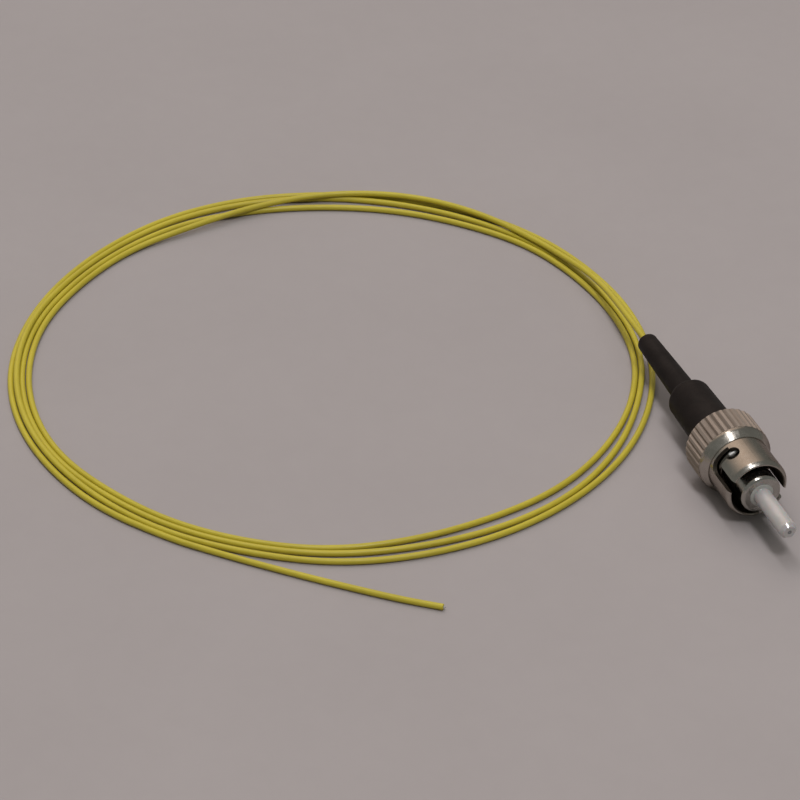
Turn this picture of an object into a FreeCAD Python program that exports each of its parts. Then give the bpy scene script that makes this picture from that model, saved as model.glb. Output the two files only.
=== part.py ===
import FreeCAD
import Part
import math
import os
import Sketcher

# A fibre pigtail: a bayonet connector with a rubber boot on one metre of buffered fibre, lying on a table
# with the fibre in a loose coil. Millimetres, +Z up, z = 0 on the table. The connector's axis lies along X
# with the ferrule's tip at +X, and the origin is on the table below the middle of the connector.

SIZES = {
    # Buffered fibre and the glass in it
    "fibre_diameter": 0.9,
    "fibre_play": 0.05,
    "glass_diameter": 0.125,
    # Ferrule
    "ferrule_diameter": 2.5,
    "ferrule_reach": 8.8,
    "ferrule_seat": 3.9,
    "ferrule_bore_play": 0.001,
    "funnel_diameter": 1.0,
    "funnel_length": 1.4,
    "tip_bevel_width": 0.4,
    "tip_bevel_length": 0.55,
    "glue_groove_width": 0.8,
    "glue_groove_depth": 0.2,
    "glue_groove_reach": 0.1,
    "buffer_setback": 0.3,
    "bond_gap": 0.01,
    # Ferrule holder
    "stem_diameter": 4.2,
    "stem_inset": 1.25,
    "stem_groove_place": 3.0,
    "stem_groove_width": 1.0,
    "stem_groove_depth": 0.3,
    "shaft_diameter": 5.0,
    "flange_play": 0.2,
    "flange_width": 1.0,
    "flange_round": 0.45,
    "sleeve_diameter": 5.4,
    "sleeve_length": 3.75,
    "nose_diameter": 5.8,
    "nose_length": 2.5,
    "nose_round": 0.5,
    "key_width": 1.0,
    "key_length": 4.6,
    "key_setback": 0.15,
    "key_play": 0.25,
    "key_root": 0.5,
    "key_angle": 280.0,
    "guide_bore": 2.0,
    "guide_setback": 0.6,
    # Coupling nut
    "knurl_diameter": 10.7,
    "knurl_length": 4.7,
    "knurl_chamfer": 0.35,
    "knurl_teeth": 34,
    "knurl_depth": 0.3,
    "knurl_crest": 0.38,
    "collar_length": 1.55,
    "collar_flat": 0.45,
    "collar_step": 0.8,
    "collar_land": 0.1,
    "collar_round": 0.8,
    "barrel_diameter": 9.0,
    "barrel_length": 6.25,
    "barrel_wall": 0.65,
    "rim_bevel_length": 0.5,
    "rim_bevel_drop": 0.32,
    "rim_bevel_round": 0.8,
    "rim_round": 0.12,
    "rim_mouth": 0.15,
    "recess_diameter": 8.0,
    "recess_depth": 1.0,
    "web_thickness": 1.0,
    "running_clearance": 0.05,
    "slot_count": 2,
    "slot_width": 1.65,
    "slot_depth": 4.89,
    "slot_turn": 41.0,
    "slot_angle": 160.0,
    "slot_inner_round": 0.35,
    "slot_outer_round": 1.3,
    "detent_diameter": 2.1,
    "detent_step": 0.72,
    # Spring, washer and clip that keep the nut on the holder
    "washer_thickness": 0.4,
    "washer_play": 0.15,
    "washer_gap": 0.02,
    "spring_room": 4.0,
    "spring_wire": 0.5,
    "spring_turns": 4.0,
    "spring_seat_gap": 0.02,
    "clip_diameter": 6.6,
    "clip_thickness": 0.6,
    "clip_bite": 0.4,
    "clip_play": 0.03,
    "clip_mouth": 3.0,
    "nut_seat_gap": 0.05,
    # Rubber boot
    "boot_length": 25.4,
    "boot_gap": 0.3,
    "boot_front_diameter": 6.8,
    "boot_shoulder_diameter": 6.3,
    "boot_shoulder_length": 1.5,
    "boot_shoulder_round": 1.0,
    "boot_tail_length": 13.65,
    "boot_tail_diameter": 2.95,
    "boot_tail_root": 3.75,
    "boot_tail_round": 0.6,
    "boot_play": 0.02,
    "boot_pocket_gap": 0.2,
    # Coil of fibre on the table
    "coil_radius": 44.8,
    "coil_width": 4.6,
    "coil_height": 1.9,
    "coil_round": 0.8,
    "coil_centre_x": -41.1,
    "coil_centre_y": -42.35,
}

# Route of the fibre where it isn't coiled. The lead starts at the boot, and these points follow it.
LEAD_POINTS = [
    (-28.9, 0.0, 5.35),
    (-34.3, 0.4, 4.7),
    (-40.9, 1.05, 3.5),
    (-48.0, 0.95, 2.35),
    (-54.55, -0.5, 1.57),
    (-60.05, -2.35, 1.35),
]
TAIL_POINTS = [
    (-9.15, -76.4, 0.46),
    (-4.6, -71.95, 0.46),
    (-0.1, -67.35, 0.46),
    (6.0, -60.75, 0.46),
    (10.55, -55.55, 0.46),
    (14.55, -50.8, 0.46),
    (17.4, -46.85, 0.46),
]
ARC_SHARE = 0.45

doc = FreeCAD.newDocument("fibre_pigtail")
sheet = doc.addObject("Spreadsheet::Sheet", "dims")
for row, (alias, number) in enumerate(SIZES.items(), start=1):
    sheet.set("A%d" % row, alias.replace("_", " "))
    sheet.set("B%d" % row, str(number))
    sheet.setAlias("B%d" % row, alias)
doc.recompute()


def size(alias):
    """The number in one named cell of the sheet."""
    return float(sheet.get(alias))


def half(alias):
    """Half of a named size, as an expression."""
    return "dims.%s / 2" % alias


def total(*terms):
    """Named sizes and expressions added up, as an expression."""
    return " + ".join("dims.%s" % term if term in SIZES else "(%s)" % term for term in terms)


def less(term, *sizes):
    """An expression less one or more named sizes, as an expression."""
    return "(%s)" % term + "".join(" - dims.%s" % alias for alias in sizes)


# Stations along the axis, counted from the end of the boot's tail
NUT_REAR = total("boot_length", "boot_gap")
KNURL_FRONT = total(NUT_REAR, "knurl_length")
COLLAR_FRONT = total(KNURL_FRONT, "collar_length")
NUT_FRONT = total(COLLAR_FRONT, "barrel_length")
WEB_REAR = total(NUT_REAR, "recess_depth")
WEB_FRONT = total(WEB_REAR, "web_thickness")
WASHER_REAR = total(WEB_FRONT, "washer_gap")
WASHER_FRONT = total(WASHER_REAR, "washer_thickness")
FLANGE_REAR = total(WASHER_FRONT, "spring_room")
FLANGE_FRONT = total(FLANGE_REAR, "flange_width")
NOSE_REAR = total(FLANGE_FRONT, "sleeve_length")
NOSE_FRONT = total(NOSE_REAR, "nose_length")
FERRULE_REAR = less(NOSE_FRONT, "ferrule_seat")
FERRULE_TIP = total(NOSE_FRONT, "ferrule_reach")
BUFFER_FRONT = less(FERRULE_REAR, "buffer_setback")
STEM_REAR = total("boot_tail_length", "boot_shoulder_length", "stem_inset")
GROOVE_FRONT = less("dims.boot_length", "stem_groove_place")
GROOVE_REAR = less(GROOVE_FRONT, "stem_groove_width")
CLIP_FRONT = less(WEB_REAR, "nut_seat_gap")
CLIP_REAR = less(CLIP_FRONT, "clip_thickness")
SLOT_PLACE = less(NUT_FRONT, "slot_depth")
SLOT_REAR = "%s - %s" % (SLOT_PLACE, half("slot_width"))
SLOT_FRONT = "%s + %s" % (SLOT_PLACE, half("slot_width"))
DETENT_PLACE = total(SLOT_PLACE, "detent_step")

# The axis lies above the table, and these radii are shared by two or more pieces
AXIS_HEIGHT = half("knurl_diameter")
NUT_BORE = less(half("barrel_diameter"), "barrel_wall")
WEB_BORE = total(half("shaft_diameter"), "running_clearance")
CLIP_GROOVE = less(half("shaft_diameter"), "clip_bite")
FIBRE_HOLE = total(half("fibre_diameter"), "fibre_play")
STEM_GROOVE = less(half("stem_diameter"), "stem_groove_depth")

X_DIRECTION = FreeCAD.Vector(1, 0, 0)
Y_DIRECTION = FreeCAD.Vector(0, 1, 0)
Z_DIRECTION = FreeCAD.Vector(0, 0, 1)
FULL_TURN = 360.0
QUARTER_TURN = 90.0
START_TURN = 1.0
MATCH = 1e-4
pieces = []


def origin_feature(body, role):
    """One of a body's own origin planes or axes."""
    return next(feature for feature in body.Origin.OriginFeatures if feature.Role == role)


def new_piece(kind, label):
    """An empty object that is one sub-part."""
    piece = doc.addObject(kind, label)
    piece.Label = label
    pieces.append(piece)
    return piece


def set_on_axis(piece, station="0"):
    """Put a piece's own origin on the connector's axis, at a station."""
    piece.setExpression("Placement.Base.x", "%s - (%s) / 2" % (station, FERRULE_TIP))
    piece.setExpression("Placement.Base.z", AXIS_HEIGHT)


def sketch_on(body, name, role, turn_axis=None, turn=None, lift=None):
    """A sketch on one of the body's origin planes, turned about an axis or lifted along its normal."""
    sketch = body.newObject("Sketcher::SketchObject", name)
    sketch.AttachmentSupport = [(origin_feature(body, role), "")]
    sketch.MapMode = "FlatFace"
    if turn:
        start = FreeCAD.Rotation(turn_axis, START_TURN)
        sketch.AttachmentOffset = FreeCAD.Placement(FreeCAD.Vector(), start)
        sketch.setExpression("AttachmentOffset.Rotation.Angle", turn)
    if lift:
        sketch.setExpression("AttachmentOffset.Base.z", lift)
    return sketch


def bind(sketch, constraint, expression):
    """Add a constraint whose value is an expression."""
    number = sketch.addConstraint(constraint)
    sketch.setExpression("Constraints[%d]" % number, expression)


def draw_outline(sketch, outline):
    """A closed outline of straight edges. Each corner's two coordinates are expressions."""
    count = len(outline)
    turns = [2 * math.pi * corner / count for corner in range(count)]
    starts = [FreeCAD.Vector(math.cos(turn), math.sin(turn), 0) for turn in turns]
    for corner in range(count):
        sketch.addGeometry(Part.LineSegment(starts[corner], starts[(corner + 1) % count]))
    for corner in range(count):
        following = (corner + 1) % count
        sketch.addConstraint(Sketcher.Constraint("Coincident", corner, 2, following, 1))
    for corner, (along, out) in enumerate(outline):
        bind(sketch, Sketcher.Constraint("DistanceX", corner, 1, starts[corner].x), along)
        bind(sketch, Sketcher.Constraint("DistanceY", corner, 1, starts[corner].y), out)


def draw_circle(sketch, radius, along=None, out=None):
    """A circle about the sketch's origin, or about a place on it."""
    circle = sketch.addGeometry(Part.Circle(FreeCAD.Vector(1, 1, 0), Z_DIRECTION, 1.0))
    bind(sketch, Sketcher.Constraint("Radius", circle, 1.0), radius)
    if along is None:
        sketch.addConstraint(Sketcher.Constraint("Coincident", circle, 3, -1, 1))
        return
    bind(sketch, Sketcher.Constraint("DistanceX", circle, 3, 1.0), along)
    if out is None:
        sketch.addConstraint(Sketcher.Constraint("PointOnObject", circle, 3, -1))
        return
    bind(sketch, Sketcher.Constraint("DistanceY", circle, 3, 1.0), out)


def add_feature(body, kind, sketch, name):
    """A feature of a body that is based on a sketch."""
    feature = body.newObject("PartDesign::%s" % kind, name)
    feature.Profile = sketch
    return feature


def cut_feature(body, kind, sketch, name):
    """A Pocket or Groove that starts at its sketch and cuts to the side that the sketch faces."""
    feature = add_feature(body, kind, sketch, name)
    feature.Reversed = True
    return feature


def repeat_about_axis(body, features, count, name):
    """Features repeated evenly about the body's X axis."""
    pattern = body.newObject("PartDesign::PolarPattern", name)
    pattern.Originals = features
    pattern.Axis = (origin_feature(body, "X_Axis"), [""])
    pattern.Angle = FULL_TURN
    pattern.setExpression("Occurrences", count)
    body.Tip = pattern
    doc.recompute()


def turned_body(label, outline, axis="H_Axis"):
    """A body turned about an axis of its half section."""
    body = new_piece("PartDesign::Body", label)
    sketch = sketch_on(body, label + "_section", "XZ_Plane")
    draw_outline(sketch, outline)
    turned = add_feature(body, "Revolution", sketch, label + "_turned")
    turned.ReferenceAxis = (sketch, [axis])
    turned.Angle = FULL_TURN
    doc.recompute()
    return body, sketch


def ring_edges(body, sketch, outline, corners):
    """Names of the round edges that some corners of a body's outline make when it is turned."""
    placed = sketch.Placement
    names = []
    for corner in corners:
        place = placed.multVec(sketch.Geometry[outline.index(corner)].StartPoint)
        for number, edge in enumerate(body.Tip.Shape.Edges, start=1):
            if edge.distToShape(Part.Vertex(place))[0] < MATCH and isinstance(edge.Curve, Part.Circle):
                names.append("Edge%d" % number)
    return names


def short_edge_at(body, place):
    """Name of the edge whose middle is nearest to a place."""
    middles = []
    for number, edge in enumerate(body.Tip.Shape.Edges, start=1):
        middle = edge.valueAt((edge.FirstParameter + edge.LastParameter) / 2)
        middles.append((middle.distanceToPoint(place), "Edge%d" % number))
    return min(middles)[1]


def round_edges(body, edges, radius, name):
    """Round edges of a body's last feature."""
    base = body.Tip
    fillet = body.newObject("PartDesign::Fillet", name)
    fillet.Base = (base, edges)
    fillet.setExpression("Radius", radius)
    doc.recompute()


def make_ferrule():
    """Ceramic ferrule: bevelled tip, glue groove at the nose's face, fine bore and a funnel at its back."""
    outer = half("ferrule_diameter")
    bore = total(half("glass_diameter"), "ferrule_bore_play")
    groove_front = total(NOSE_FRONT, "glue_groove_reach")
    groove_rear = less(groove_front, "glue_groove_width")
    groove_floor = less(outer, "glue_groove_depth")
    body, _ = turned_body("ferrule", [
        (FERRULE_REAR, half("funnel_diameter")),
        (FERRULE_REAR, outer),
        (groove_rear, outer),
        (groove_rear, groove_floor),
        (groove_front, groove_floor),
        (groove_front, outer),
        (less(FERRULE_TIP, "tip_bevel_length"), outer),
        (FERRULE_TIP, less(outer, "tip_bevel_width")),
        (FERRULE_TIP, bore),
        (total(FERRULE_REAR, "funnel_length"), bore),
    ])
    set_on_axis(body)


def make_ferrule_holder():
    """Turned holder: stem for the boot, shaft for the nut, flange for the spring, sleeve, nose and key."""
    stem = half("stem_diameter")
    shaft = half("shaft_diameter")
    flange = less(NUT_BORE, "flange_play")
    sleeve = half("sleeve_diameter")
    nose = half("nose_diameter")
    guide = half("guide_bore")
    socket = total(half("ferrule_diameter"), "bond_gap")
    flange_corner = (FLANGE_FRONT, flange)
    nose_corner = (NOSE_FRONT, nose)
    outline = [
        (STEM_REAR, guide),
        (STEM_REAR, stem),
        (GROOVE_REAR, stem),
        (GROOVE_REAR, STEM_GROOVE),
        (GROOVE_FRONT, STEM_GROOVE),
        (GROOVE_FRONT, stem),
        ("dims.boot_length", stem),
        ("dims.boot_length", shaft),
        (less(CLIP_REAR, "clip_play"), shaft),
        (less(CLIP_REAR, "clip_play"), CLIP_GROOVE),
        (total(CLIP_FRONT, "clip_play"), CLIP_GROOVE),
        (total(CLIP_FRONT, "clip_play"), shaft),
        (FLANGE_REAR, shaft),
        (FLANGE_REAR, flange),
        flange_corner,
        (FLANGE_FRONT, sleeve),
        (NOSE_REAR, sleeve),
        (NOSE_REAR, nose),
        nose_corner,
        (NOSE_FRONT, socket),
        (FERRULE_REAR, socket),
        (FERRULE_REAR, guide),
    ]
    body, section = turned_body("ferrule_holder", outline)
    for corner, radius in ((nose_corner, "nose_round"), (flange_corner, "flange_round")):
        round_edges(body, ring_edges(body, section, outline, [corner]), "dims." + radius, radius + "ing")

    # The key stands on the nose and the sleeve, and stops short of the nose's face.
    key_end = less(NOSE_FRONT, "key_setback", "nose_round")
    profile = sketch_on(body, "key_section", "YZ_Plane", Z_DIRECTION, "dims.key_angle",
                        less(key_end, "key_length"))
    low = less(sleeve, "key_root")
    high = less(NUT_BORE, "key_play")
    side = half("key_width")
    draw_outline(profile, [(low, "-" + side), (high, "-" + side), (high, side), (low, side)])
    key = add_feature(body, "Pad", profile, "key")
    key.setExpression("Length", "dims.key_length")
    set_on_axis(body)


def make_glass_fibre():
    """The stripped glass, from the end of the buffer to the ferrule's tip."""
    glass = new_piece("Part::Cylinder", "glass_fibre")
    glass.setExpression("Radius", half("glass_diameter"))
    glass.setExpression("Height", "%s - (%s)" % (FERRULE_TIP, BUFFER_FRONT))
    lay_on_axis(glass, BUFFER_FRONT)


def make_buffered_core():
    """The straight stretch of buffered fibre inside the boot and the holder."""
    core = new_piece("Part::Cylinder", "buffered_core")
    core.setExpression("Radius", half("fibre_diameter"))
    core.setExpression("Height", BUFFER_FRONT)
    lay_on_axis(core, "0")


def lay_on_axis(cylinder, station):
    """Lay a cylinder along the connector's axis, starting at a station."""
    cylinder.Placement = FreeCAD.Placement(FreeCAD.Vector(), FreeCAD.Rotation(Y_DIRECTION, QUARTER_TURN))
    set_on_axis(cylinder, station)


def make_guide_tube():
    """Thin tube that centres the buffered fibre in the holder's bore."""
    outer = less(half("guide_bore"), "bond_gap")
    front = less(FERRULE_REAR, "guide_setback")
    body, _ = turned_body("guide_tube", [
        (STEM_REAR, FIBRE_HOLE),
        (STEM_REAR, outer),
        (front, outer),
        (front, FIBRE_HOLE),
    ])
    set_on_axis(body)


def make_coupling_nut():
    """Bayonet nut: knurled grip, sloping collar, barrel with two hooked slots, and a web on the shaft."""
    knurl = half("knurl_diameter")
    barrel = half("barrel_diameter")
    recess = half("recess_diameter")
    collar = total(barrel, "collar_step")
    collar_corner = (total(KNURL_FRONT, "collar_flat"), collar)
    bevel_corner = (less(NUT_FRONT, "rim_bevel_length"), barrel)
    rim_corner = (NUT_FRONT, less(barrel, "rim_bevel_drop"))
    outline = [
        (NUT_REAR, recess),
        (NUT_REAR, less(knurl, "knurl_chamfer")),
        (total(NUT_REAR, "knurl_chamfer"), knurl),
        (KNURL_FRONT, knurl),
        (KNURL_FRONT, collar),
        collar_corner,
        (COLLAR_FRONT, total(barrel, "collar_land")),
        (COLLAR_FRONT, barrel),
        bevel_corner,
        rim_corner,
        (NUT_FRONT, total(NUT_BORE, "rim_mouth")),
        (less(NUT_FRONT, "rim_mouth"), NUT_BORE),
        (WEB_FRONT, NUT_BORE),
        (WEB_FRONT, WEB_BORE),
        (WEB_REAR, WEB_BORE),
        (WEB_REAR, recess),
    ]
    body, section = turned_body("coupling_nut", outline)
    corners = {"collar_round": collar_corner, "rim_bevel_round": bevel_corner, "rim_round": rim_corner}
    for radius, corner in corners.items():
        round_edges(body, ring_edges(body, section, outline, [corner]), "dims." + radius, radius + "ing")
    cut_knurl(body)
    cut_slots(body)
    set_on_axis(body)


def cut_knurl(body):
    """Straight knurl of V grooves along the grip, with a crest at the top."""
    knurl = half("knurl_diameter")
    half_mouth = "(dims.knurl_diameter * pi / dims.knurl_teeth - dims.knurl_crest) / 2"
    over = total(knurl, "knurl_depth")
    groove = sketch_on(body, "knurl_section", "YZ_Plane", Z_DIRECTION, "180 / dims.knurl_teeth", NUT_REAR)
    draw_outline(groove, [
        (less(knurl, "knurl_depth"), "0"),
        (over, "2 * (%s)" % half_mouth),
        (over, "-2 * (%s)" % half_mouth),
    ])
    cut = cut_feature(body, "Pocket", groove, "knurl_groove")
    cut.setExpression("Length", "dims.knurl_length")
    repeat_about_axis(body, [cut], "dims.knurl_teeth", "knurl")


def cut_slots(body):
    """Two slots: straight in from the rim, then round the barrel to a detent for the adapter's lug."""
    side = half("slot_width")
    reach = "dims.barrel_diameter"
    entry_turn = "dims.slot_angle - 90"
    entry = sketch_on(body, "slot_entry_outline", "XY_Plane", X_DIRECTION, entry_turn)
    past_rim = total(NUT_FRONT, "slot_width")
    draw_outline(entry, [
        (SLOT_REAR, "-" + side),
        (past_rim, "-" + side),
        (past_rim, side),
        (SLOT_REAR, side),
    ])
    entry_cut = cut_feature(body, "Pocket", entry, "slot_entry")
    entry_cut.setExpression("Length", reach)

    hook = sketch_on(body, "slot_hook_section", "XZ_Plane", X_DIRECTION, entry_turn)
    inside = half("sleeve_diameter")
    draw_outline(hook, [(SLOT_REAR, inside), (SLOT_FRONT, inside), (SLOT_FRONT, reach), (SLOT_REAR, reach)])
    hook_cut = cut_feature(body, "Groove", hook, "slot_hook")
    hook_cut.ReferenceAxis = (hook, ["H_Axis"])
    hook_cut.setExpression("Angle", "dims.slot_turn")

    detent = sketch_on(body, "slot_detent_outline", "XY_Plane", X_DIRECTION, entry_turn + " - dims.slot_turn")
    draw_circle(detent, half("detent_diameter"), DETENT_PLACE)
    detent_cut = cut_feature(body, "Pocket", detent, "slot_detent")
    detent_cut.setExpression("Length", reach)
    doc.recompute()
    repeat_about_axis(body, [entry_cut, hook_cut, detent_cut], "dims.slot_count", "slots")

    # Each slot's two corners are rounded: the lug passes the inner one, and the outer one follows it.
    wall = (size("barrel_diameter") - size("barrel_wall")) / 2
    shift = size("slot_width") / 2
    along = {1: entry.Geometry[0].StartPoint.x, -1: entry.Geometry[0].StartPoint.x + size("slot_width")}
    for side_sign, radius in ((1, "slot_outer_round"), (-1, "slot_inner_round")):
        edges = []
        for number in range(int(size("slot_count"))):
            turn = math.radians(size("slot_angle") + number * FULL_TURN / size("slot_count"))
            out = math.sqrt(wall ** 2 - shift ** 2)
            radial = FreeCAD.Vector(0, math.cos(turn), math.sin(turn)) * out
            tangent = FreeCAD.Vector(0, -math.sin(turn), math.cos(turn)) * shift * side_sign
            edges.append(short_edge_at(body, X_DIRECTION * along[side_sign] + radial + tangent))
        round_edges(body, edges, "dims." + radius, radius + "ing")


def make_thrust_washer():
    """Washer between the spring and the nut's web."""
    outer = less(NUT_BORE, "washer_play")
    body, _ = turned_body("thrust_washer", [
        (WASHER_REAR, WEB_BORE),
        (WASHER_REAR, outer),
        (WASHER_FRONT, outer),
        (WASHER_FRONT, WEB_BORE),
    ])
    set_on_axis(body)


def make_spring():
    """Coil spring between the washer and the holder's flange."""
    body = new_piece("PartDesign::Body", "spring")
    wire = sketch_on(body, "spring_wire_section", "XZ_Plane")
    middle = "(%s + %s) / 2" % (half("shaft_diameter"), NUT_BORE)
    first = total(WASHER_FRONT, "spring_seat_gap", half("spring_wire"))
    draw_circle(wire, half("spring_wire"), first, middle)
    coil = add_feature(body, "AdditiveHelix", wire, "spring_coil")
    coil.ReferenceAxis = (wire, ["H_Axis"])
    coil.Mode = "height-turns-angle"
    coil.setExpression("Height", "dims.spring_room - dims.spring_wire - 2 * dims.spring_seat_gap")
    coil.setExpression("Turns", "dims.spring_turns")
    set_on_axis(body)


def make_retaining_clip():
    """Open ring in the shaft's groove, behind the nut's web."""
    body = new_piece("PartDesign::Body", "retaining_clip")
    ring = sketch_on(body, "clip_ring", "YZ_Plane", lift=CLIP_REAR)
    draw_circle(ring, half("clip_diameter"))
    draw_circle(ring, total(CLIP_GROOVE, "clip_play"))
    pad = add_feature(body, "Pad", ring, "clip_plate")
    pad.setExpression("Length", "dims.clip_thickness")
    mouth = sketch_on(body, "clip_mouth_outline", "YZ_Plane", lift=CLIP_REAR)
    side = half("clip_mouth")
    draw_outline(mouth, [
        ("-" + side, "0"),
        (side, "0"),
        (side, "dims.clip_diameter"),
        ("-" + side, "dims.clip_diameter"),
    ])
    cut = cut_feature(body, "Pocket", mouth, "clip_opening")
    cut.setExpression("Length", "dims.clip_thickness")
    set_on_axis(body)


def make_boot():
    """Rubber boot: a thin tail about the fibre, a shoulder, and a tapered grip on the holder's stem."""
    stem = total(half("stem_diameter"), "boot_play")
    rib = total(STEM_GROOVE, "boot_play")
    pocket = less(STEM_REAR, "boot_pocket_gap")
    tail_corner = ("0", half("boot_tail_diameter"))
    root_corner = ("dims.boot_tail_length", half("boot_tail_root"))
    shoulder_corner = (total("boot_tail_length", "boot_shoulder_length"), half("boot_shoulder_diameter"))
    outline = [
        ("0", FIBRE_HOLE),
        tail_corner,
        root_corner,
        shoulder_corner,
        ("dims.boot_length", half("boot_front_diameter")),
        ("dims.boot_length", stem),
        (less(GROOVE_FRONT, "boot_play"), stem),
        (less(GROOVE_FRONT, "boot_play"), rib),
        (total(GROOVE_REAR, "boot_play"), rib),
        (total(GROOVE_REAR, "boot_play"), stem),
        (pocket, stem),
        (pocket, FIBRE_HOLE),
    ]
    body, section = turned_body("boot", outline)
    tail_edges = ring_edges(body, section, outline, [tail_corner])
    round_edges(body, tail_edges, "dims.boot_tail_round", "boot_tail_rounding")
    shoulder_edges = ring_edges(body, section, outline, [root_corner, shoulder_corner])
    round_edges(body, shoulder_edges, "dims.boot_shoulder_round", "boot_shoulder_rounding")
    set_on_axis(body)


def make_fibre_coil():
    """Outer shape of the coiled fibre: a flat rounded ring on the table."""
    inner = "dims.coil_radius - " + half("coil_width")
    outer = "dims.coil_radius + " + half("coil_width")
    outline = [(inner, "0"), (outer, "0"), (outer, "dims.coil_height"), (inner, "dims.coil_height")]
    body, section = turned_body("fibre_coil", outline, axis="V_Axis")
    round_edges(body, ring_edges(body, section, outline, outline), "dims.coil_round", "coil_rounding")
    body.setExpression("Placement.Base.x", "dims.coil_centre_x")
    body.setExpression("Placement.Base.y", "dims.coil_centre_y")


def corner_arc(before, corner, after):
    """Tangent arc at a corner of a route, as large as the two runs beside it allow."""
    coming = (corner - before).normalize()
    going = (after - corner).normalize()
    half_turn = coming.getAngle(going) / 2
    trim = ARC_SHARE * min((corner - before).Length, (after - corner).Length)
    radius = trim / math.tan(half_turn)
    inward = (going - coming).normalize()
    depth = radius / math.cos(half_turn) - radius
    return Part.Arc(corner - coming * trim, corner + inward * depth, corner + going * trim), radius


def make_cord(label, places):
    """A stretch of buffered fibre: straight runs joined by tangent arcs."""
    route = [FreeCAD.Vector(*place) for place in places]
    edges = []
    radii = []
    last = route[0]
    for before, corner, after in zip(route, route[1:], route[2:]):
        arc, radius = corner_arc(before, corner, after)
        edges.append(Part.LineSegment(last, arc.StartPoint).toShape())
        edges.append(arc.toShape())
        last = arc.EndPoint
        radii.append(round(radius, 1))
    edges.append(Part.LineSegment(last, route[-1]).toShape())
    path = Part.Wire(edges)
    radius = size("fibre_diameter") / 2
    section = Part.Wire(Part.Circle(route[0], route[1] - route[0], radius).toShape())
    cord = new_piece("Part::Feature", label)
    cord.Shape = path.makePipeShell([section], True, False)
    share = cord.Shape.Volume / (math.pi * radius ** 2 * path.Length)
    print(label, "radii", radii, "length %.2f" % path.Length, "volume share %.4f" % share)


def check_pieces():
    """Stop if any object of the document failed or any sub-part has no sound solid."""
    for item in doc.Objects:
        if "Invalid" in item.State or "Error" in item.State:
            raise RuntimeError("failed: %s %s" % (item.Name, item.State))
    for piece in pieces:
        if piece.Shape.isNull() or not piece.Shape.isValid() or not piece.Shape.Solids:
            raise RuntimeError("no sound solid: %s" % piece.Label)


make_ferrule()
make_ferrule_holder()
make_glass_fibre()
make_buffered_core()
make_guide_tube()
make_coupling_nut()
make_thrust_washer()
make_spring()
make_retaining_clip()
make_boot()
make_fibre_coil()
doc.recompute()
core = doc.getObject("buffered_core")
boot_exit = core.Placement.Base
make_cord("fibre_lead", [tuple(boot_exit)] + LEAD_POINTS)
make_cord("fibre_tail", TAIL_POINTS)
doc.recompute()
check_pieces()

os.makedirs("parts", exist_ok=True)
for piece in pieces:
    piece.Shape.exportStep("parts/%s.step" % piece.Label)
    box = piece.Shape.BoundBox
    print("%-16s %8.3f mm3  x %.2f %.2f  y %.2f %.2f  z %.2f %.2f" % (
        piece.Label, piece.Shape.Volume, box.XMin, box.XMax, box.YMin, box.YMax, box.ZMin, box.ZMax))
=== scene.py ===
import bmesh
import bpy
import math
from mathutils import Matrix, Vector


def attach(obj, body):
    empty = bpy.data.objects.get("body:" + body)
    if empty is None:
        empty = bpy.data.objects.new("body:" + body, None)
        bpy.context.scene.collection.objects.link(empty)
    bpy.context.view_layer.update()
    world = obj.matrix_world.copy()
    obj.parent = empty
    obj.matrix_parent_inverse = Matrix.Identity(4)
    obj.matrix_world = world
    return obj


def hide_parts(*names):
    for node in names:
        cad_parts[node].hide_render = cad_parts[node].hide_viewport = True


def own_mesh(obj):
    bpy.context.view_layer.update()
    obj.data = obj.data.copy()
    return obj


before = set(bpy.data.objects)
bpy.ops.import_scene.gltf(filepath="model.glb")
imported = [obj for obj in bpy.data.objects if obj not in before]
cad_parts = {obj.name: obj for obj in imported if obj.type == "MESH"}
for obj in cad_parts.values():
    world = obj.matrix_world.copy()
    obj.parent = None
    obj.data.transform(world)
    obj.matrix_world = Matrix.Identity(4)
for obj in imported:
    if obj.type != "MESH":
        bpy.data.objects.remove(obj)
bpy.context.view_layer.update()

# Sizes are in millimetres, as on the connector's drawing, and MM turns them into Blender's metres.
MM = 0.001
AXIS_HEIGHT = 5.35
BOOT_EXIT = (-24.085, 0.0, AXIS_HEIGHT)
FERRULE_TIP = 24.085
WASHER_FRONT = 4.035
FLANGE_REAR = 8.035
FLANGE_FRONT = 9.035
NOSE_REAR = 12.785

# Buffered fibre, with its length in metres
FIBRE_RADIUS = 0.45
FIBRE_SMOOTHNESS = 10
FIBRE_ROUNDNESS = 4
COAT_RADIUS = 0.125
GLASS_RADIUS = 0.0625

# Heights of the fibre's middle: on the table, over other turns, and on its way down from them
ON_TABLE = 0.46
ON_ONE = 1.35
BETWEEN_TWO = 1.23
ACROSS_GAP = 1.05
COMING_DOWN = 1.1

# Where the fibre leaves the boot and where it leaves the coil
LEAD_POINTS = [
    BOOT_EXIT,
    (-28.9, 0.0, 5.35),
    (-34.3, 0.4, 4.7),
    (-40.9, 1.05, 3.5),
    (-48.0, 0.95, 2.35),
    (-54.55, -0.5, 1.57),
    (-60.05, -2.35, 1.35),
]
TAIL_POINTS = [
    (-9.15, -76.4, ON_TABLE),
    (-4.6, -71.95, ON_TABLE),
    (-0.1, -67.35, ON_TABLE),
    (6.0, -60.75, ON_TABLE),
    (10.55, -55.55, ON_TABLE),
    (14.55, -50.8, ON_TABLE),
    (17.4, -46.85, ON_TABLE),
]

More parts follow.
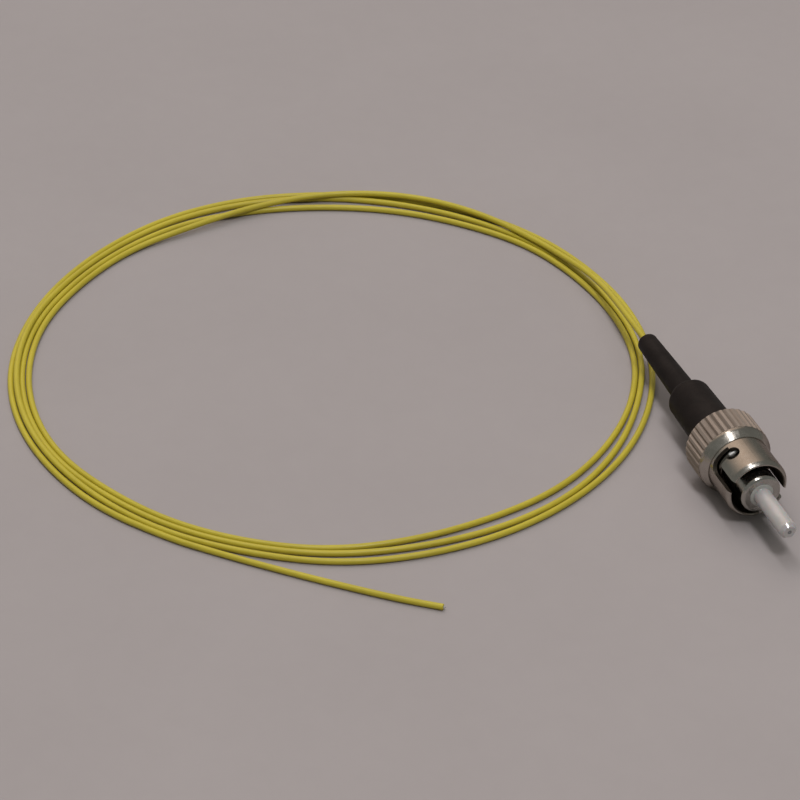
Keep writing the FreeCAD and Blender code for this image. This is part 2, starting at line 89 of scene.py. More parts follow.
# The coil's turns, as angle round the coil, radius and height. Loose turns fan out and cross.
COIL_CENTRE = (-41.1, -42.35)
COIL_RIGHT = 69.93
COIL_FROM = 45.5
COIL_TO = 1323.3
COIL_STEPS = 85
COIL_LANES = [
    (45, 44.3, ON_ONE), (60, 45.12, ON_ONE), (80, 45.99, ON_ONE), (90, 45.09, ON_ONE),
    (105, 43.1, ON_ONE), (120, 41.77, COMING_DOWN), (135, 43.06, ON_TABLE), (150, 42.89, ON_TABLE),
    (160, 43.5, ON_TABLE), (175, 43.52, ON_TABLE), (190, 43.56, ON_TABLE), (210, 43.62, ON_TABLE),
    (225, 42.89, ON_TABLE), (255, 43.4, ON_TABLE), (270, 44.01, ON_TABLE), (285, 43.39, ON_TABLE),
    (300, 43.18, ON_TABLE), (315, 44.03, ON_TABLE), (345, 44.15, ON_TABLE), (360, 44.3, ON_TABLE),
    (375, 43.58, ON_TABLE), (390, 43.0, ON_TABLE), (405, 43.21, ON_TABLE), (420, 42.4, ON_TABLE),
    (435, 42.34, ON_TABLE), (450, 42.35, ON_TABLE), (465, 42.95, ON_TABLE), (480, 44.13, ON_TABLE),
    (510, 43.85, ON_TABLE), (520, 44.53, ON_TABLE), (570, 44.53, ON_TABLE), (585, 43.9, ON_TABLE),
    (615, 44.4, ON_TABLE), (630, 45.06, ON_TABLE), (645, 45.05, ON_TABLE), (660, 45.71, ON_TABLE),
    (675, 46.34, ON_TABLE), (690, 45.79, ON_TABLE), (705, 45.04, ON_TABLE), (720, 45.29, ON_TABLE),
    (735, 44.69, ON_TABLE), (750, 44.01, ON_TABLE), (765, 44.11, ON_TABLE), (780, 44.06, ON_TABLE),
    (795, 44.29, ON_TABLE), (810, 45.02, ON_TABLE), (825, 45.5, ON_TABLE), (840, 45.93, ON_TABLE),
    (850, 45.43, ON_TABLE), (870, 44.9, ON_TABLE), (880, 45.09, BETWEEN_TWO), (900, 45.28, ACROSS_GAP),
    (930, 45.35, ACROSS_GAP), (945, 45.01, ON_TABLE), (960, 45.49, ON_TABLE), (975, 45.55, ON_TABLE),
    (990, 46.9, ON_TABLE), (1005, 47.05, ON_TABLE), (1020, 47.24, ON_TABLE), (1050, 47.25, ON_TABLE),
    (1065, 46.94, ON_TABLE), (1080, 46.67, ON_TABLE), (1110, 45.66, ON_TABLE), (1125, 45.93, ON_TABLE),
    (1155, 45.97, ON_TABLE), (1170, 45.97, ON_TABLE), (1185, 46.66, ON_TABLE), (1200, 46.99, ON_TABLE),
    (1215, 46.21, ON_TABLE), (1230, 45.91, ON_TABLE), (1240, 45.7, ON_TABLE), (1250, 45.88, ON_TABLE),
    (1260, 46.18, ON_TABLE), (1275, 46.22, ON_TABLE), (1290, 46.12, ON_TABLE), (1305, 46.32, ON_TABLE),
    (1320, 46.65, ON_TABLE), (1335, 46.7, ON_TABLE),
]

# Cut end of the fibre, as radius, reach past the buffer's end and which stuff the band inside it is
CUT_BANDS = [
    (FIBRE_RADIUS, 0.0, "buffer"), (0.42, 0.03, "buffer"), (0.14, 0.05, "buffer"),
    (COAT_RADIUS, 0.04, "coat"), (0.118, 0.22, "coat"), (0.07, 0.24, "coat"),
    (GLASS_RADIUS, 0.24, "glass"), (GLASS_RADIUS, 0.36, "glass"), (0.02, 0.37, "glass"),
]
CUT_SIDES = 48

# Glue that stands in the ferrule's groove at the nose's face, as place along the axis and radius
GLUE_OUTLINE = [
    (15.384, 1.245), (15.375, 1.36), (15.345, 1.5), (15.315, 1.62), (15.288, 1.74), (15.288, 1.07),
    (15.38, 1.07),
]
GLUE_SIDES = 72

# Spring round the holder's shaft
SPRING_TURNS = 4.0
SPRING_RADIUS = 3.175
SPRING_WIRE = 0.25
SPRING_GAP = 0.02
SPRING_POINTS = 240
SPRING_SIDES = 14

# Effects: how much finer or broader the second pattern is, the first one's share, and the range that counts
TONE_FINER = 9.0
TONE_SHARE = 0.75
TONE_RANGE = (0.34, 0.66)
MARKS_FINER = 14.0
MARKS_SHARE = 0.8
MARKS_RANGE = (0.36, 0.64)
RINGS_FINER = 3.1
RINGS_SHARE = 0.7
RINGS_DRAWN = (1.0, 0.04, 0.04)
GRAIN_BROADER = 0.3
GRAIN_CELLS = 0.5
GRAIN_SOFTNESS = 0.6

# Masks: the length over which one finish gives way to the next, and how far a dull finish with painted
# shade covers
FADE = 0.1
DULL_AND_SHADE_COVER = 0.8

# The nut's knurl, worn and darker than the plate, and darker still towards its grooves' floor
KNURL_REAR = 1.615
KNURL_FRONT = 6.315
KNURL_FLOOR = 5.05
KNURL_CREST = 5.3
KNURL_COVER = 0.8
KNURL_METAL = 0.45
KNURL_TONE = (0.305, 0.24, 0.198, 1)
GROOVE_DARKENING = 0.3
WORN_ROUGHNESS = 0.28

# Inside the nut and on its slots' walls the plate is dull, and painted shade darkens it there
NUT_BORE = 3.85
SLOT_EDGE = 4.42
RIM_BEVEL = 13.5
NUT_SHADE = (0.1, 0.08, 0.06, 1)

# Behind its nose the holder is dull and darkened with painted shade, but for a painted highlight on one
# spot of the flange's edge
HOLDER_SHADE = (0.1, 0.085, 0.07, 1)
HOLDER_ROUGHNESS = 0.3
HIGHLIGHT_SPOT_PLACE = (8.95, -1.66, AXIS_HEIGHT + 3.25)
HIGHLIGHT_SPOT_REACH = 0.75
HIGHLIGHT_SPOT_CORE = 0.5
PAINTED_HIGHLIGHT_TONE = (0.9, 0.88, 0.86, 1)

# The dark spot that the fibre makes in the ferrule's face
TIP_SPOT = 0.42
TIP_CORE = 0.4
TIP_DEPTHS = (0.06, 0.02)
TIP_COVER = 0.85
TIP_TONE = (0.05, 0.045, 0.05, 1)

# Camera and table
CAMERA_PLACE = (353.73, -175.85, 288.9)
CAMERA_AIM = (-29.57, -35.75, 0.0)
CAMERA_LENS = 157.1
CAMERA_SENSOR = 36.0
TABLE_SIZE = 6000.0

# Lamps as place, what they shine at, length along X, width, power, and whether polished metal mirrors them
LAMP_COLOUR = (1.0, 0.99, 1.0)
LAMP_AIM = (8.0, 0.0, 5.0)
LAMPS = {
    "front_lamp": ((900.0, -60.0, 1790.0), LAMP_AIM, 350.0, 350.0, 11.0, True),
    "ceiling_tube": ((-150.0, -160.0, 1900.0), (-150.0, -160.0, 0.0), 1900.0, 240.0, 9.0, True),
    "back_fill": ((-1250.0, 120.0, 2130.0), LAMP_AIM, 2600.0, 2600.0, 20.0, False),
}

# The room's own light: grey, with a warm wall behind the connector
ROOM_TONE = (0.215, 0.222, 0.208, 1)
WALL_TONE = (1.03, 0.82, 0.67, 1)
WALL_TOWARDS = (-0.72, -0.02, 0.69)
WALL_EDGE = 0.7
WALL_FADE = 2.0


def metres(place):
    """A place in millimetres as a vector in metres."""
    return Vector(place) * MM


def add_piece(name, data):
    """An object for a piece, in the scene's own collection."""
    piece = bpy.data.objects.new(name, data)
    bpy.context.scene.collection.objects.link(piece)
    return piece


# Node trees

def new_group(name, inputs, outputs):
    """An empty shader group with named sockets, given as name, kind and starting value."""
    group = bpy.data.node_groups.new(name, "ShaderNodeTree")
    for label, kind, start in inputs:
        socket = group.interface.new_socket(label, in_out="INPUT", socket_type="NodeSocket" + kind)
        if start is not None:
            socket.default_value = start
    for label, kind in outputs:
        group.interface.new_socket(label, in_out="OUTPUT", socket_type="NodeSocket" + kind)
    return group, group.nodes.new("NodeGroupInput"), group.nodes.new("NodeGroupOutput")


def feed(tree, socket, value):
    """Join a socket to another one, or set its value."""
    if isinstance(value, bpy.types.NodeSocket):
        tree.links.new(value, socket)
    else:
        socket.default_value = value


def math_node(tree, operation, *values):
    """A Math node's result."""
    node = tree.nodes.new("ShaderNodeMath")
    node.operation = operation
    for socket, value in zip(node.inputs, values):
        feed(tree, socket, value)
    return node.outputs[0]


def times(tree, first, second):
    """Two values multiplied."""
    return math_node(tree, "MULTIPLY", first, second)


def plus(tree, first, second):
    """Two values added."""
    return math_node(tree, "ADD", first, second)


def weighed(tree, first, share, second):
    """Two patterns in one: a share of the first, and the rest from the second."""
    return plus(tree, times(tree, first, share), times(tree, second, 1.0 - share))


def vector_node(tree, operation, first, second):
    """A Vector Math node between a socket and a fixed vector."""
    node = tree.nodes.new("ShaderNodeVectorMath")
    node.operation = operation
    feed(tree, node.inputs[0], first)
    node.inputs[1].default_value = second
    return node


def noise(tree, vector, scale, detail=3.0, roughness=0.55):
    """A noise pattern's value, about 0.5 on average."""
    node = tree.nodes.new("ShaderNodeTexNoise")
    feed(tree, node.inputs["Vector"], vector)
    feed(tree, node.inputs["Scale"], scale)
    feed(tree, node.inputs["Detail"], detail)
    feed(tree, node.inputs["Roughness"], roughness)
    return node.outputs["Fac"]


def spread(tree, value, low, high, to_low=0.0, to_high=1.0, smooth=False):
    """A value carried from one range to another, and held inside it."""
    node = tree.nodes.new("ShaderNodeMapRange")
    node.interpolation_type = "SMOOTHSTEP" if smooth else "LINEAR"
    for label, number in (("Value", value), ("From Min", low), ("From Max", high),
                          ("To Min", to_low), ("To Max", to_high)):
        feed(tree, node.inputs[label], number)
    return node.outputs["Result"]


def past(tree, distance, edge, most=1.0):
    """Mask that is nothing up to an edge in millimetres, and at its most from a fade past it."""
    return spread(tree, distance, edge * MM, (edge + FADE) * MM, 0.0, most)


def up_to(tree, distance, edge, most=1.0):
    """Mask that is at its most up to an edge in millimetres, and nothing from a fade past it."""
    return spread(tree, distance, edge * MM, (edge + FADE) * MM, most, 0.0)


def mix_colours(tree, factor, first, second):
    """One colour over another, by a factor."""
    node = tree.nodes.new("ShaderNodeMix")
    node.data_type = "RGBA"
    colours = [socket for socket in node.inputs if socket.type == "RGBA"]
    feed(tree, node.inputs["Factor"], factor)
    feed(tree, colours[0], first)
    feed(tree, colours[1], second)
    return next(socket for socket in node.outputs if socket.type == "RGBA")


# Effects that several finishes share

def tone_drift_group():
    """Slow change between two tones, with finer specks in it."""
    group, given, result = new_group(
        "tone drift",
        [("Vector", "Vector", None), ("Scale", "Float", 200.0), ("Dark", "Color", (0, 0, 0, 1)),
         ("Light", "Color", (1, 1, 1, 1))],
        [("Colour", "Color")])
    place, scale = given.outputs["Vector"], given.outputs["Scale"]
    broad = noise(group, place, scale, detail=4.0)
    specks = noise(group, place, times(group, scale, TONE_FINER), detail=2.0)
    factor = spread(group, weighed(group, broad, TONE_SHARE, specks), *TONE_RANGE)
    feed(group, result.inputs["Colour"],
         mix_colours(group, factor, given.outputs["Dark"], given.outputs["Light"]))
    return group


def handling_marks_group():
    """Roughness of a surface that fingers have touched: smooth patches, and smears with soft edges."""
    group, given, result = new_group(
        "handling marks",
        [("Vector", "Vector", None), ("Scale", "Float", 250.0), ("Smooth", "Float", 0.2),
         ("Rough", "Float", 0.4)],
        [("Roughness", "Float")])
    place, scale = given.outputs["Vector"], given.outputs["Scale"]
    smears = noise(group, place, scale, detail=5.0, roughness=0.62)
    fine = noise(group, place, times(group, scale, MARKS_FINER), detail=2.0)
    feed(group, result.inputs["Roughness"],
         spread(group, weighed(group, smears, MARKS_SHARE, fine), *MARKS_RANGE,
                given.outputs["Smooth"], given.outputs["Rough"], smooth=True))
    return group


def turning_marks_group():
    """Fine rings about X that a lathe or a grinding wheel leaves, as a height."""
    group, given, result = new_group(
        "turning marks",
        [("Vector", "Vector", None), ("Rings", "Float", 12000.0)],
        [("Height", "Float")])
    drawn_out = vector_node(group, "MULTIPLY", given.outputs["Vector"], RINGS_DRAWN).outputs["Vector"]
    rings = given.outputs["Rings"]
    coarse = noise(group, drawn_out, rings, detail=2.0, roughness=0.6)
    finer = noise(group, drawn_out, times(group, rings, RINGS_FINER), detail=1.0)
    feed(group, result.inputs["Height"], weighed(group, coarse, RINGS_SHARE, finer))
    return group


def moulded_grain_group():
    """Fine pebbled skin of moulded rubber and drawn plastic, as a height."""
    group, given, result = new_group(
        "moulded grain",
        [("Vector", "Vector", None), ("Scale", "Float", 6000.0)],
        [("Height", "Float")])
    place, scale = given.outputs["Vector"], given.outputs["Scale"]
    cells = group.nodes.new("ShaderNodeTexVoronoi")
    cells.feature = "SMOOTH_F1"
    feed(group, cells.inputs["Vector"], place)
    feed(group, cells.inputs["Scale"], scale)
    cells.inputs["Smoothness"].default_value = GRAIN_SOFTNESS
    waves = noise(group, place, times(group, scale, GRAIN_BROADER), detail=3.0)
    pebbles = times(group, cells.outputs["Distance"], GRAIN_CELLS)
    feed(group, result.inputs["Height"], plus(group, pebbles, waves))
    return group


class Finish:
    """A material under construction: its tree, its shader and the piece's own coordinates."""

    def __init__(self, name, effects):
        self.effects = effects
        self.material = bpy.data.materials.new(name)
        self.material.use_nodes = True
        self.tree = self.material.node_tree
        self.shader = self.tree.nodes["Principled BSDF"]
        self.place = self.tree.nodes.new("ShaderNodeTexCoord").outputs["Object"]

    def effect(self, name, **values):
        """The output of a shared effect, with its own values."""
        node = self.tree.nodes.new("ShaderNodeGroup")
        node.node_tree = self.effects[name]
        feed(self.tree, node.inputs["Vector"], self.place)
        for label, value in values.items():
            feed(self.tree, node.inputs[label], value)
        return node.outputs[0]

    def set(self, **values):
        """Set or join the shader's sockets, named with underscores for spaces."""
        for label, value in values.items():
            feed(self.tree, self.shader.inputs[label.replace("_", " ")], value)

    def bump(self, height, strength, depth):
        """Relief from a height, its depth in millimetres."""
        node = self.tree.nodes.new("ShaderNodeBump")
        node.inputs["Strength"].default_value = strength
        node.inputs["Distance"].default_value = depth * MM
        feed(self.tree, node.inputs["Height"], height)
        feed(self.tree, self.shader.inputs["Normal"], node.outputs["Normal"])

    def along_and_out(self):
        """Distance along the connector's axis and out from it, in metres."""
        tree = self.tree
        parts = tree.nodes.new("ShaderNodeSeparateXYZ")
        feed(tree, parts.inputs[0], self.place)
        aside = parts.outputs["Y"]
        up = math_node(tree, "SUBTRACT", parts.outputs["Z"], AXIS_HEIGHT * MM)
        square = plus(tree, times(tree, aside, aside), times(tree, up, up))
        return parts.outputs["X"], math_node(tree, "SQRT", square)


# Finishes

def nut_nickel(effects):
    """Bright nickel plate on the coupling nut, darker towards the floor of the knurl's grooves, with
    painted shade in its bore and on its slots' walls.
    """
    finish = Finish("nut nickel", effects)
    tree = finish.tree
    plate = finish.effect("tone", Scale=420.0, Dark=(0.36, 0.33, 0.295, 1), Light=(0.46, 0.43, 0.39, 1))
    rough = finish.effect("marks", Scale=380.0, Smooth=0.14, Rough=0.3)
    along, out = finish.along_and_out()

    on_grip = times(tree, past(tree, along, KNURL_REAR - FADE), up_to(tree, along, KNURL_FRONT))
    knurled = times(tree, on_grip, past(tree, out, KNURL_FLOOR - FADE))
    # The knurl's grooves get darker towards their floor
    grooves = spread(tree, out, KNURL_FLOOR * MM, KNURL_CREST * MM, GROOVE_DARKENING, 0.0, smooth=True)
    grip = mix_colours(tree, times(tree, knurled, KNURL_COVER), plate, KNURL_TONE)

    # Painted shade: the nut's bore and its slots' walls are darkened towards NUT_SHADE, and made rougher
    walls = times(tree, up_to(tree, out, SLOT_EDGE - FADE, DULL_AND_SHADE_COVER), up_to(tree, along, RIM_BEVEL - FADE))
    dull_and_painted_shade = math_node(tree, "MAXIMUM", up_to(tree, out, NUT_BORE, DULL_AND_SHADE_COVER), walls)
    shade = math_node(tree, "MAXIMUM", times(tree, grooves, knurled), dull_and_painted_shade)
    worn = math_node(tree, "MAXIMUM", knurled, dull_and_painted_shade)
    finish.set(Base_Color=mix_colours(tree, shade, grip, NUT_SHADE),
               Roughness=plus(tree, rough, times(tree, worn, WORN_ROUGHNESS)),
               Metallic=spread(tree, knurled, 0.0, 1.0, 1.0, KNURL_METAL),
               Specular_Tint=(0.5, 0.47, 0.45, 1))
    finish.bump(finish.effect("turning", Rings=9000.0), 0.25, 0.004)
    return finish.material


def holder_nickel(effects):
    """Nickel plate on the ferrule's holder, with painted shade behind its nose and a painted highlight on
    one spot of the flange's edge.
    """
    finish = Finish("holder nickel", effects)
    tree = finish.tree
    plate = finish.effect("tone", Scale=500.0, Dark=(0.38, 0.365, 0.335, 1), Light=(0.47, 0.455, 0.425, 1))
    rough = finish.effect("marks", Scale=500.0, Smooth=0.16, Rough=0.34)
    along, _ = finish.along_and_out()

    # Painted shade: behind its nose the holder is darkened towards HOLDER_SHADE
    behind_nose = up_to(tree, along, NOSE_REAR - FADE, DULL_AND_SHADE_COVER)
    sleeve = times(tree, behind_nose, past(tree, along, FLANGE_FRONT))
    # Painted highlight: a bright, rougher spot on the flange's edge that shows as a glint through the
    # detent
    away = vector_node(tree, "DISTANCE", finish.place, metres(HIGHLIGHT_SPOT_PLACE)).outputs["Value"]
    painted_highlight = spread(tree, away, HIGHLIGHT_SPOT_CORE * HIGHLIGHT_SPOT_REACH * MM, HIGHLIGHT_SPOT_REACH * MM, 1.0, 0.0, smooth=True)
    worn = math_node(tree, "MAXIMUM", sleeve, painted_highlight)
    body = mix_colours(tree, behind_nose, plate, HOLDER_SHADE)
    finish.set(Base_Color=mix_colours(tree, painted_highlight, body, PAINTED_HIGHLIGHT_TONE),
               Roughness=plus(tree, rough, times(tree, worn, HOLDER_ROUGHNESS)),
               Metallic=1.0, Specular_Tint=(0.6, 0.58, 0.56, 1))
    finish.bump(finish.effect("turning", Rings=11000.0), 0.25, 0.004)
    return finish.material


def ferrule_ceramic(effects):
    """Ground white ceramic, with the dark spot of the fibre and its glue in the polished face."""
    finish = Finish("ferrule ceramic", effects)
    tree = finish.tree
    body = finish.effect("tone", Scale=350.0, Dark=(0.42, 0.4, 0.395, 1), Light=(0.48, 0.455, 0.45, 1))
    along, out = finish.along_and_out()
    behind, before = TIP_DEPTHS
    on_face = spread(tree, along, (FERRULE_TIP - behind) * MM, (FERRULE_TIP - before) * MM)
    near_axis = spread(tree, out, TIP_CORE * TIP_SPOT * MM, TIP_SPOT * MM, TIP_COVER, 0.0, smooth=True)
    finish.set(Base_Color=mix_colours(tree, times(tree, on_face, near_axis), body, TIP_TONE),
               Roughness=finish.effect("marks", Scale=420.0, Smooth=0.12, Rough=0.26),
               IOR=2.15, Subsurface_Weight=0.4, Subsurface_Scale=0.7 * MM)
    finish.bump(finish.effect("turning", Rings=16000.0), 0.12, 0.002)
    return finish.material


def ferrule_glue(effects):
    """Cured glue, pale and a little cloudy."""
    finish = Finish("ferrule glue", effects)
    finish.set(Base_Color=finish.effect("tone", Scale=900.0, Dark=(0.37, 0.375, 0.345, 1),
                                        Light=(0.47, 0.47, 0.44, 1)),
               Roughness=finish.effect("marks", Scale=1200.0, Smooth=0.2, Rough=0.4))
    return finish.material


def boot_rubber(effects):
    """Matte black moulded rubber."""
    finish = Finish("boot rubber", effects)
    finish.set(Base_Color=finish.effect("tone", Scale=260.0, Dark=(0.0065, 0.0042, 0.0038, 1),
                                        Light=(0.012, 0.0078, 0.0068, 1)),
               Roughness=finish.effect("marks", Scale=300.0, Smooth=0.55, Rough=0.72),
               Specular_IOR_Level=0.2)
    finish.bump(finish.effect("grain", Scale=5200.0), 0.35, 0.02)
    return finish.material


def fibre_buffer(effects):
    """Satin yellow buffer, its tone drifting along the fibre."""
    finish = Finish("fibre buffer", effects)
    finish.set(Base_Color=finish.effect("tone", Scale=60.0, Dark=(0.445, 0.365, 0.028, 1),
                                        Light=(0.53, 0.44, 0.037, 1)),
               Roughness=finish.effect("marks", Scale=240.0, Smooth=0.36, Rough=0.52),
               Specular_IOR_Level=0.4)
    finish.bump(finish.effect("grain", Scale=3000.0), 0.15, 0.01)
    return finish.material


def fibre_coat(effects):
    """Clear coat of the glass at the cut end."""
    finish = Finish("fibre coat", effects)
    finish.set(Base_Color=finish.effect("tone", Scale=4000.0, Dark=(0.5, 0.49, 0.42, 1),
                                        Light=(0.66, 0.65, 0.58, 1)),
               Roughness=finish.effect("marks", Scale=5000.0, Smooth=0.15, Rough=0.3))
    return finish.material


def fibre_glass(effects):
    """The glass itself, clear with a faint cast."""
    finish = Finish("fibre glass", effects)
    finish.set(Base_Color=finish.effect("tone", Scale=6000.0, Dark=(0.8, 0.86, 0.87, 1),
                                        Light=(0.9, 0.94, 0.95, 1)),
               Roughness=finish.effect("marks", Scale=6000.0, Smooth=0.03, Rough=0.1),
               Transmission_Weight=0.7, IOR=1.46)
    return finish.material


def spring_steel(effects):
    """Drawn wire and stamped plate."""
    finish = Finish("spring steel", effects)
    finish.set(Base_Color=finish.effect("tone", Scale=700.0, Dark=(0.36, 0.36, 0.37, 1),
                                        Light=(0.52, 0.52, 0.53, 1)),
               Roughness=finish.effect("marks", Scale=900.0, Smooth=0.24, Rough=0.42),
               Metallic=1.0)
    finish.bump(finish.effect("turning", Rings=14000.0), 0.2, 0.003)
    return finish.material


def guide_plastic(effects):
    """Plain white plastic of the tube in the holder."""
    finish = Finish("guide plastic", effects)
    finish.set(Base_Color=finish.effect("tone", Scale=300.0, Dark=(0.74, 0.74, 0.72, 1),
                                        Light=(0.82, 0.82, 0.8, 1)),
               Roughness=finish.effect("marks", Scale=300.0, Smooth=0.4, Rough=0.6))
    finish.bump(finish.effect("grain", Scale=4000.0), 0.1, 0.01)
    return finish.material


def table_paper(effects):
    """Plain pale grey paper."""
    finish = Finish("table paper", effects)
    finish.set(Base_Color=finish.effect("tone", Scale=30.0, Dark=(0.343, 0.31, 0.308, 1),
                                        Light=(0.36, 0.326, 0.324, 1)),
               Roughness=finish.effect("marks", Scale=60.0, Smooth=0.8, Rough=0.95),
               Specular_IOR_Level=0.2)
    return finish.material


# Pieces

def lane_at(angle):
    """Radius and height of the coiled fibre at an angle, between the lane's marks."""
    for (before, low_radius, low), (after, high_radius, high) in zip(COIL_LANES, COIL_LANES[1:]):
        if before <= angle <= after:
            share = (angle - before) / (after - before)
            return low_radius + share * (high_radius - low_radius), low + share * (high - low)
    raise ValueError("no lane at %s" % angle)


def coil_points():
    """Points of the coil's turns, set out a little so that the smooth line runs at the lane's radius."""
    step = (COIL_TO - COIL_FROM) / COIL_STEPS
    set_out = 1 / math.cos(math.radians(step / 2))
    points = []
    for number in range(1, COIL_STEPS):
        angle = COIL_FROM + step * number
        radius, height = lane_at(angle)
        turn = math.radians(angle + COIL_RIGHT)
        points.append((COIL_CENTRE[0] + radius * set_out * math.cos(turn),
                       COIL_CENTRE[1] + radius * set_out * math.sin(turn), height))
    return points


def make_fibre(material):
    """The buffered fibre from the boot to its cut end: one smooth line with the coil in it."""
    route = LEAD_POINTS + coil_points() + TAIL_POINTS
    curve = bpy.data.curves.new("fibre", "CURVE")
    curve.dimensions = "3D"
    spline = curve.splines.new("NURBS")
    spline.points.add(len(route) - 1)
    for point, place in zip(spline.points, route):
        point.co = (*metres(place), 1.0)
    spline.order_u = 3
    spline.use_endpoint_u = True
    spline.resolution_u = FIBRE_SMOOTHNESS
    curve.bevel_depth = FIBRE_RADIUS * MM
    curve.bevel_resolution = FIBRE_ROUNDNESS
    curve.use_fill_caps = True
    curve.materials.append(material)
    return add_piece("fibre", curve)


def round_ring(shape, centre, side, up, radius, sides):
    """Corners of a ring about a centre, in metres."""
    ring = []
    for number in range(sides):
        turn = 2 * math.pi * number / sides
        ring.append(shape.verts.new(centre + (side * math.cos(turn) + up * math.sin(turn)) * radius))
    return ring


def join_rings(shape, first, second, stuff=0):
    """Smooth faces from one ring to the next, with the number of their material."""
    for number in range(len(first)):
        following = (number + 1) % len(first)
        face = shape.faces.new((first[number], first[following], second[following], second[number]))
        face.material_index = stuff
        face.smooth = True


def mesh_piece(name, shape, materials):
    """A piece from a finished shape."""
    mesh = bpy.data.meshes.new(name)
    shape.to_mesh(mesh)
    shape.free()
    for material in materials:
        mesh.materials.append(material)
    return add_piece(name, mesh)


def make_cut_end(stuffs):
    """Face of the cut fibre: the buffer's end, and the coated glass standing a little out of it."""
    end = metres(TAIL_POINTS[-1])
    out = (end - metres(TAIL_POINTS[-2])).normalized()
    side = out.cross(Vector((0, 0, 1))).normalized()
    up = side.cross(out)
    numbers = {name: number for number, name in enumerate(stuffs)}
    shape = bmesh.new()
    rings = [round_ring(shape, end + out * reach * MM, side, up, radius * MM, CUT_SIDES)
             for radius, reach, _ in CUT_BANDS]
    for first, second, (_, _, stuff) in zip(rings, rings[1:], CUT_BANDS):
        join_rings(shape, first, second, numbers[stuff])
    for ring, (_, _, stuff) in ((rings[-1], CUT_BANDS[-1]), (rings[0], CUT_BANDS[0])):
        shape.faces.new(ring).material_index = numbers[stuff]
    bmesh.ops.recalc_face_normals(shape, faces=shape.faces)
    return mesh_piece("cut_end", shape, stuffs.values())


def make_glue_bead(material):
    """Ring of glue round the ferrule's root."""
    side, up = Vector((0, 1, 0)), Vector((0, 0, 1))
    shape = bmesh.new()
    rings = [round_ring(shape, metres((along, 0.0, AXIS_HEIGHT)), side, up, radius * MM, GLUE_SIDES)
             for along, radius in GLUE_OUTLINE]
    for first, second in zip(rings, rings[1:] + rings[:1]):
        join_rings(shape, first, second)
    bmesh.ops.recalc_face_normals(shape, faces=shape.faces)
    return mesh_piece("glue_bead", shape, [material])


def spring_tree(material):
    """Nodes that wind a compression spring about the connector's axis, with its end turns closed."""
    tree = bpy.data.node_groups.new("wound spring", "GeometryNodeTree")
    tree.interface.new_socket("Geometry", in_out="INPUT", socket_type="NodeSocketGeometry")
    for label in ("Turns", "Radius", "Length", "Wire", "Start", "Height"):
        tree.interface.new_socket(label, in_out="INPUT", socket_type="NodeSocketFloat")
    tree.interface.new_socket("Geometry", in_out="OUTPUT", socket_type="NodeSocketGeometry")
    given = tree.nodes.new("NodeGroupInput")
    result = tree.nodes.new("NodeGroupOutput")

    line = tree.nodes.new("GeometryNodeCurvePrimitiveLine")
    points = tree.nodes.new("GeometryNodeResampleCurve")
    points.inputs["Count"].default_value = SPRING_POINTS
    tree.links.new(line.outputs["Curve"], points.inputs["Curve"])
    share = tree.nodes.new("GeometryNodeSplineParameter").outputs["Factor"]
    turn = times(tree, times(tree, share, given.outputs["Turns"]), 2 * math.pi)
    along = times(tree, spread(tree, share, 0.0, 1.0, smooth=True), given.outputs["Length"])
    aside = times(tree, math_node(tree, "COSINE", turn), given.outputs["Radius"])
    rise = times(tree, math_node(tree, "SINE", turn), given.outputs["Radius"])
    place = tree.nodes.new("ShaderNodeCombineXYZ")
    feed(tree, place.inputs["X"], plus(tree, along, given.outputs["Start"]))
    feed(tree, place.inputs["Y"], aside)
    feed(tree, place.inputs["Z"], plus(tree, rise, given.outputs["Height"]))
    wind = tree.nodes.new("GeometryNodeSetPosition")
    tree.links.new(points.outputs["Curve"], wind.inputs["Geometry"])
    tree.links.new(place.outputs["Vector"], wind.inputs["Position"])

    section = tree.nodes.new("GeometryNodeCurvePrimitiveCircle")
    section.inputs["Resolution"].default_value = SPRING_SIDES
    tree.links.new(given.outputs["Wire"], section.inputs["Radius"])
    sweep = tree.nodes.new("GeometryNodeCurveToMesh")
    sweep.inputs["Fill Caps"].default_value = True
    tree.links.new(wind.outputs["Geometry"], sweep.inputs["Curve"])
    tree.links.new(section.outputs["Curve"], sweep.inputs["Profile Curve"])
    smooth = tree.nodes.new("GeometryNodeSetShadeSmooth")
    tree.links.new(sweep.outputs["Mesh"], smooth.inputs["Geometry"])
    real = tree.nodes.new("GeometryNodeRealizeInstances")
    tree.links.new(smooth.outputs["Geometry"], real.inputs["Geometry"])
    paint = tree.nodes.new("GeometryNodeSetMaterial")
    paint.inputs["Material"].default_value = material
    tree.links.new(real.outputs["Geometry"], paint.inputs["Geometry"])
    tree.links.new(paint.outputs["Geometry"], result.inputs["Geometry"])
    return tree


def make_spring(material):
    """The spring between the washer and the holder's flange, as a plain mesh."""
    tree = spring_tree(material)
    piece = add_piece("wound_spring", bpy.data.meshes.new("wound_spring"))
    nodes = piece.modifiers.new("winding", "NODES")
    nodes.node_group = tree
    first = WASHER_FRONT + SPRING_GAP + SPRING_WIRE
    last = FLANGE_REAR - SPRING_GAP - SPRING_WIRE
    sizes = {"Turns": SPRING_TURNS, "Radius": SPRING_RADIUS * MM, "Length": (last - first) * MM,
             "Wire": SPRING_WIRE * MM, "Start": first * MM, "Height": AXIS_HEIGHT * MM}
    for socket in tree.interface.items_tree:
        if socket.in_out == "INPUT" and socket.name in sizes:
            nodes[socket.identifier] = float(sizes[socket.name])
    shapes = bpy.context.evaluated_depsgraph_get()
    piece.data = bpy.data.meshes.new_from_object(piece.evaluated_get(shapes))
    piece.modifiers.clear()
    return piece


def dress_node(node, material):
    """Give a CAD node its finish."""
    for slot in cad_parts[node].material_slots:
        slot.material = material


# Studio

def aim(thing, place, target):
    """Put a lamp or the camera at a place, looking at another."""
    thing.location = metres(place)
    thing.rotation_euler = (metres(target) - metres(place)).to_track_quat("-Z", "Y").to_euler()


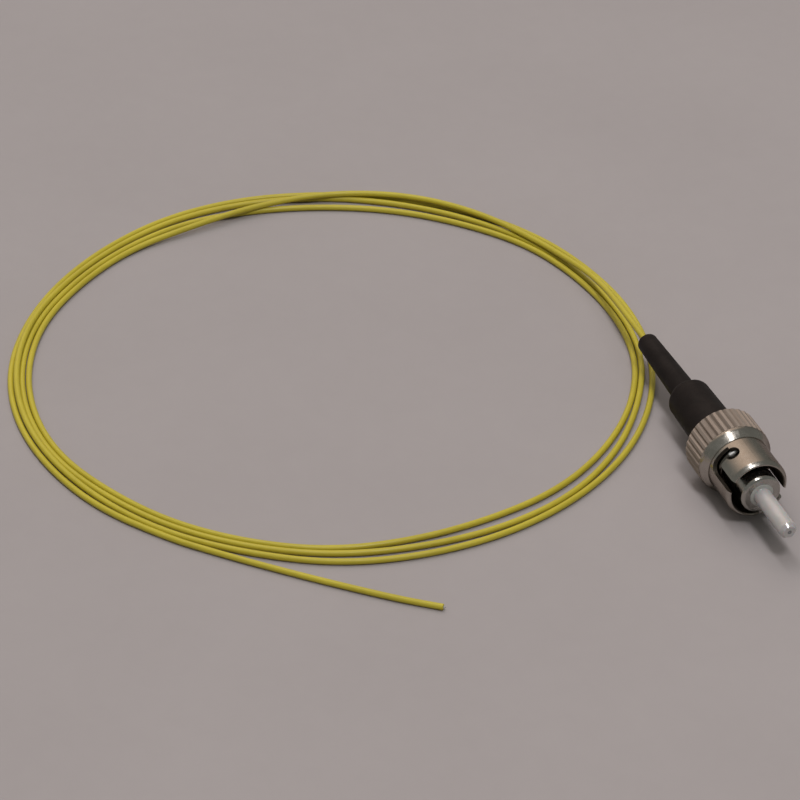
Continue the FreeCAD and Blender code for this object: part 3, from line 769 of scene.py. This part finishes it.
def add_lamp(name, place, target, length, width, power, mirrored):
    """A soft lamp over the connector."""
    lamp = bpy.data.lights.new(name, "AREA")
    lamp.shape = "RECTANGLE"
    lamp.size = length * MM
    lamp.size_y = width * MM
    lamp.energy = power
    lamp.color = LAMP_COLOUR
    holder = add_piece(name, lamp)
    holder.visible_glossy = mirrored
    aim(holder, place, target)


def light_room():
    """The room's own light, from all round."""
    world = bpy.data.worlds.new("room")
    world.use_nodes = True
    tree = world.node_tree
    direction = tree.nodes.new("ShaderNodeTexCoord").outputs["Generated"]
    facing = vector_node(tree, "DOT_PRODUCT", direction, Vector(WALL_TOWARDS).normalized()).outputs["Value"]
    lit_wall = math_node(tree, "POWER", spread(tree, facing, WALL_EDGE, 1.0), WALL_FADE)
    background = tree.nodes["Background"]
    feed(tree, background.inputs["Color"], mix_colours(tree, lit_wall, ROOM_TONE, WALL_TONE))
    background.inputs["Strength"].default_value = 1.0
    bpy.context.scene.world = world


def make_studio(effects):
    """Camera, table, lamps and the room."""
    camera = bpy.data.cameras.new("camera")
    camera.lens = CAMERA_LENS
    camera.sensor_width = CAMERA_SENSOR
    viewer = add_piece("camera", camera)
    aim(viewer, CAMERA_PLACE, CAMERA_AIM)
    bpy.context.scene.camera = viewer

    shape = bmesh.new()
    bmesh.ops.create_grid(shape, x_segments=1, y_segments=1, size=TABLE_SIZE * MM / 2)
    mesh_piece("table", shape, [table_paper(effects)])

    for name, settings in LAMPS.items():
        add_lamp(name, *settings)
    light_room()
    bpy.context.scene.view_settings.view_transform = "Standard"


def main():
    """The studio, then the pieces that ride on the connector, then the finishes of the CAD's own nodes."""
    effects = {"tone": tone_drift_group(), "marks": handling_marks_group(),
               "turning": turning_marks_group(), "grain": moulded_grain_group()}
    make_studio(effects)

    buffer = fibre_buffer(effects)
    glass = fibre_glass(effects)
    fibre = make_fibre(buffer)
    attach(fibre, "connector")
    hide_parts("fibre_lead", "fibre_coil", "fibre_tail")
    cut_end = make_cut_end({"buffer": buffer, "coat": fibre_coat(effects), "glass": glass})
    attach(cut_end, "connector")

    bead = make_glue_bead(ferrule_glue(effects))
    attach(bead, "connector")

    steel = spring_steel(effects)
    spring = make_spring(steel)
    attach(spring, "connector")
    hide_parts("spring")
    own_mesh(spring)

    dress_node("coupling_nut", nut_nickel(effects))
    dress_node("ferrule_holder", holder_nickel(effects))
    dress_node("ferrule", ferrule_ceramic(effects))
    dress_node("boot", boot_rubber(effects))
    dress_node("thrust_washer", steel)
    dress_node("retaining_clip", steel)
    dress_node("guide_tube", guide_plastic(effects))
    dress_node("buffered_core", buffer)
    dress_node("glass_fibre", glass)


main()
